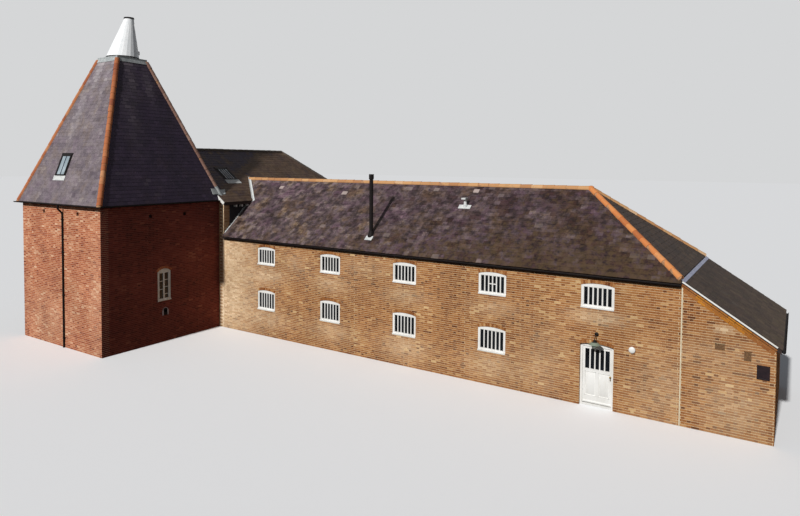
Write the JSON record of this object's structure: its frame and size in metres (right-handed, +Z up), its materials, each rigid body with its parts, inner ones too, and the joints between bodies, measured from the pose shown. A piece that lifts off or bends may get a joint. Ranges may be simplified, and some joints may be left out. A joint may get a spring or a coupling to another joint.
{
  "type": "oast house",
  "caption": "Brick oast house: a long range with a lean-to, a cross wing and a square kiln under a steep slate roof with a turning white cowl.",
  "frame": {"origin": "middle of the building's bounding box at ground level", "axes": "+Z up, +X along the range from the kiln towards the lean-to, +Y from the entrance front to the back"},
  "size_m": [29.184, 15.5996, 14.4],
  "materials": {
    "range_brick": "fired brick in lime mortar, buff and orange mixed",
    "kiln_brick": "fired brick, orange red",
    "wing_brick": "fired brick, orange",
    "range_slate": "weathered slate with lichen",
    "kiln_slate": "purple grey slate",
    "wing_slate": "dark brown grey slate",
    "clay_tile": "fired clay ridge tile",
    "white_joinery": "white gloss paint on softwood",
    "cowl_paint": "white paint on boards",
    "glass": "clear glass",
    "dark_metal": "black paint",
    "lead": "weathered sheet lead",
    "oak": "oiled oak",
    "floor_brick": "brick paviours"
  },
  "bodies": {
    "building": {"back_window_frames": "white_joinery", "back_window_glass": "glass", "cowl_beam": "oak", "door_frame": "white_joinery", "door_lamp": "dark_metal", "flue_pipe": "dark_metal", "front_window_frames": "white_joinery", "front_window_glass": "glass", "kiln_front_wall": "kiln_brick", "kiln_gutter_and_downpipe": "dark_metal", "kiln_hip_tiles": "clay_tile", "kiln_left_wall": "kiln_brick", "kiln_right_wall": "kiln_brick", "kiln_roof_back": "kiln_slate", "kiln_roof_front": "kiln_slate", "kiln_roof_left": "kiln_slate", "kiln_roof_right": "kiln_slate", "kiln_top_curb": "lead", "kiln_window_frames": "white_joinery", "kiln_window_glass": "glass", "lean_to_back_wall": "range_brick", "lean_to_end_wall": "range_brick", "lean_to_front_wall": "range_brick", "lean_to_roof": "range_slate", "range_back_wall": "range_brick", "range_end_wall": "range_brick", "range_front_wall_left": "range_brick", "range_front_wall_over_door": "range_brick", "range_front_wall_right": "range_brick", "range_ground_floor": "floor_brick", "range_gutters": "dark_metal", "range_ridge_tiles": "clay_tile", "range_roof_back": "range_slate", "range_roof_front": "range_slate", "range_roof_hip": "range_slate", "range_upper_floor": "oak", "roof_vent": "lead", "rooflight_frames": "dark_metal", "rooflight_glass": "glass", "wing_back_wall": "wing_brick", "wing_front_wall": "wing_brick", "wing_left_wall": "wing_brick", "wing_ridge_tiles": "wing_slate", "wing_right_wall": "wing_brick", "wing_roof_hip": "wing_slate", "wing_roof_left": "wing_slate", "wing_roof_right": "wing_slate", "wing_upper_floor": "oak", "wing_window_frames": "white_joinery", "wing_window_glass": "glass"},
    "cowl": {"cowl_shell": "cowl_paint", "cowl_cap": "dark_metal", "cowl_vane": "cowl_paint", "cowl_spindle": "oak"},
    "door": {"entrance_door": "white_joinery", "door_glass": "glass"}
  },
  "joints": [
    {"name": "cowl_turn", "type": "hinge", "parent": "building", "child": "cowl", "pos_m": [-11.112, -4.5758, 12.425], "axis": [0, 0, 1], "continuous": true},
    {"name": "door_swing", "type": "hinge", "parent": "building", "child": "door", "pos_m": [8.993, -1.4428, 1], "axis": [0, 0, 1], "range_deg": [0, 95]}
  ]
}
